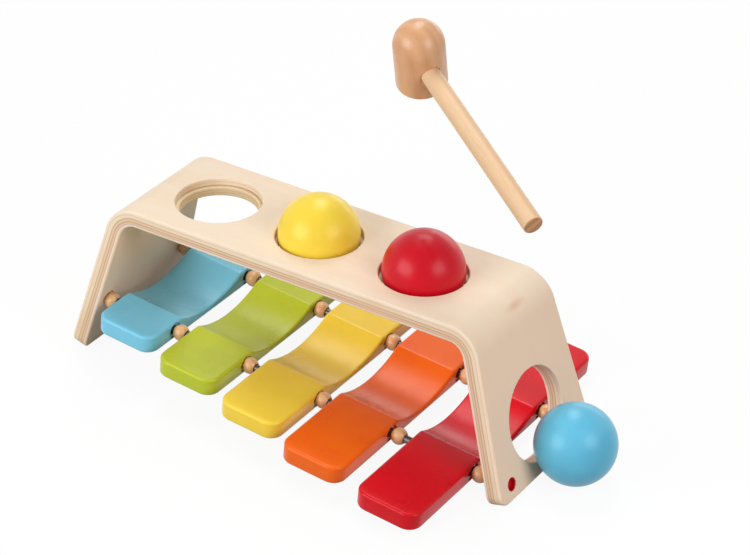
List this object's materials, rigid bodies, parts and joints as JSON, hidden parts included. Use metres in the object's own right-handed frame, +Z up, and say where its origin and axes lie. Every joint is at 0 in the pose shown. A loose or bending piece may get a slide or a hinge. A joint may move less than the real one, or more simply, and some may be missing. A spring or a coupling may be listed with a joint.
{
  "type": "toy metallophone",
  "caption": "Bent plywood bridge with ball holes over painted bars on sloping rods, with beads, balls and a mallet.",
  "frame": {"origin": "middle of the whole toy's box, with the ball beside it, at the floor it stands on", "axes": "+X along the row of bars, from the shortest to the longest and to the exit hole; +Y from the front, where the mallet's handle points, to the back; +Z up"},
  "size_m": [0.3602, 0.207, 0.2521],
  "materials": {
    "plywood": "clear satin lacquer over pale plywood",
    "turned_wood": "clear satin lacquer over light brown hardwood",
    "ring_rubber": "tan, matt",
    "steel": "drawn wire, plain",
    "blue_paint": "satin paint on wood",
    "green_paint": "satin paint on wood",
    "yellow_paint": "satin paint on wood",
    "orange_paint": "satin paint on wood",
    "red_paint": "satin to glossy paint on wood"
  },
  "bodies": {
    "toy": {"bridge": "plywood", "ring_left": "ring_rubber", "ring_middle": "ring_rubber", "ring_right": "ring_rubber", "rod_front": "steel", "rod_rear": "steel", "plug_front_left": "red_paint", "plug_front_right": "red_paint", "plug_rear_left": "red_paint", "plug_rear_right": "red_paint"},
    "blue_bar": {"bar_blue": "blue_paint"},
    "green_bar": {"bar_green": "green_paint"},
    "yellow_bar": {"bar_yellow": "yellow_paint"},
    "orange_bar": {"bar_orange": "orange_paint"},
    "red_bar": {"bar_red": "red_paint"},
    "front_bead_1": {"bead_front_1": "turned_wood"},
    "front_bead_2": {"bead_front_2": "turned_wood"},
    "front_bead_3": {"bead_front_3": "turned_wood"},
    "front_bead_4": {"bead_front_4": "turned_wood"},
    "front_bead_5": {"bead_front_5": "turned_wood"},
    "front_bead_6": {"bead_front_6": "turned_wood"},
    "rear_bead_1": {"bead_rear_1": "turned_wood"},
    "rear_bead_2": {"bead_rear_2": "turned_wood"},
    "rear_bead_3": {"bead_rear_3": "turned_wood"},
    "rear_bead_4": {"bead_rear_4": "turned_wood"},
    "rear_bead_5": {"bead_rear_5": "turned_wood"},
    "rear_bead_6": {"bead_rear_6": "turned_wood"},
    "yellow_ball": {"ball_yellow": "yellow_paint"},
    "red_ball": {"ball_red": "red_paint"},
    "blue_ball": {"ball_blue": "blue_paint"},
    "mallet": {"mallet_head": "turned_wood", "mallet_handle": "turned_wood"}
  },
  "joints": [
    {"name": "yellow_ball_drop", "type": "slide", "parent": "toy", "child": "yellow_ball", "axis": [0, 0, 1], "range_m": [-0.0623, 0.05], "deforming": ["ring_middle"]},
    {"name": "red_ball_drop", "type": "slide", "parent": "toy", "child": "red_ball", "axis": [0, 0, 1], "range_m": [-0.0691, 0.05], "deforming": ["ring_right"]},
    {"name": "blue_ball_roll", "type": "slide", "parent": "toy", "child": "blue_ball", "axis": [1, 0, 0], "range_m": [0, 0.07]},
    {"name": "mallet_lift", "type": "slide", "parent": "toy", "child": "mallet", "axis": [0, 0, 1], "range_m": [0, 0.1]},
    {"name": "blue_bar_play", "type": "slide", "parent": "toy", "child": "blue_bar", "axis": [0.9959, 0, -0.0906], "range_m": [-0.0032, 0.0017]},
    {"name": "green_bar_play", "type": "slide", "parent": "toy", "child": "green_bar", "axis": [0.9959, 0, -0.0906], "range_m": [-0.0037, 0]},
    {"name": "yellow_bar_play", "type": "slide", "parent": "toy", "child": "yellow_bar", "axis": [0.9959, 0, -0.0906], "range_m": [-0.0052, 0]},
    {"name": "orange_bar_play", "type": "slide", "parent": "toy", "child": "orange_bar", "axis": [0.9959, 0, -0.0906], "range_m": [-0.0037, 0.0023]},
    {"name": "red_bar_play", "type": "slide", "parent": "toy", "child": "red_bar", "axis": [0.9959, 0, -0.0906], "range_m": [-0.0065, 0.0014]},
    {"name": "front_bead_1_spin", "type": "hinge", "parent": "toy", "child": "front_bead_1", "pos_m": [-0.15602, -0.0384, 0.03393], "axis": [0.9959, 0, -0.0906], "continuous": true},
    {"name": "front_bead_2_spin", "type": "hinge", "parent": "toy", "child": "front_bead_2", "pos_m": [-0.10283, -0.0384, 0.02909], "axis": [0.9959, 0, -0.0906], "continuous": true},
    {"name": "front_bead_3_spin", "type": "hinge", "parent": "toy", "child": "front_bead_3", "pos_m": [-0.05074, -0.0384, 0.02435], "axis": [0.9959, 0, -0.0906], "continuous": true},
    {"name": "front_bead_4_spin", "type": "hinge", "parent": "toy", "child": "front_bead_4", "pos_m": [0.00305, -0.0384, 0.01946], "axis": [0.9959, 0, -0.0906], "continuous": true},
    {"name": "front_bead_5_spin", "type": "hinge", "parent": "toy", "child": "front_bead_5", "pos_m": [0.05743, -0.0384, 0.01451], "axis": [0.9959, 0, -0.0906], "continuous": true},
    {"name": "front_bead_6_spin", "type": "hinge", "parent": "toy", "child": "front_bead_6", "pos_m": [0.11371, -0.0384, 0.00939], "axis": [0.9959, 0, -0.0906], "continuous": true},
    {"name": "rear_bead_1_spin", "type": "hinge", "parent": "toy", "child": "rear_bead_1", "pos_m": [-0.15602, 0.0384, 0.03393], "axis": [0.9959, 0, -0.0906], "continuous": true},
    {"name": "rear_bead_2_spin", "type": "hinge", "parent": "toy", "child": "rear_bead_2", "pos_m": [-0.10283, 0.0384, 0.02909], "axis": [0.9959, 0, -0.0906], "continuous": true},
    {"name": "rear_bead_3_spin", "type": "hinge", "parent": "toy", "child": "rear_bead_3", "pos_m": [-0.05074, 0.0384, 0.02435], "axis": [0.9959, 0, -0.0906], "continuous": true},
    {"name": "rear_bead_4_spin", "type": "hinge", "parent": "toy", "child": "rear_bead_4", "pos_m": [0.00305, 0.0384, 0.01946], "axis": [0.9959, 0, -0.0906], "continuous": true},
    {"name": "rear_bead_5_spin", "type": "hinge", "parent": "toy", "child": "rear_bead_5", "pos_m": [0.05743, 0.0384, 0.01451], "axis": [0.9959, 0, -0.0906], "continuous": true},
    {"name": "rear_bead_6_spin", "type": "hinge", "parent": "toy", "child": "rear_bead_6", "pos_m": [0.11371, 0.0384, 0.00939], "axis": [0.9959, 0, -0.0906], "continuous": true}
  ]
}
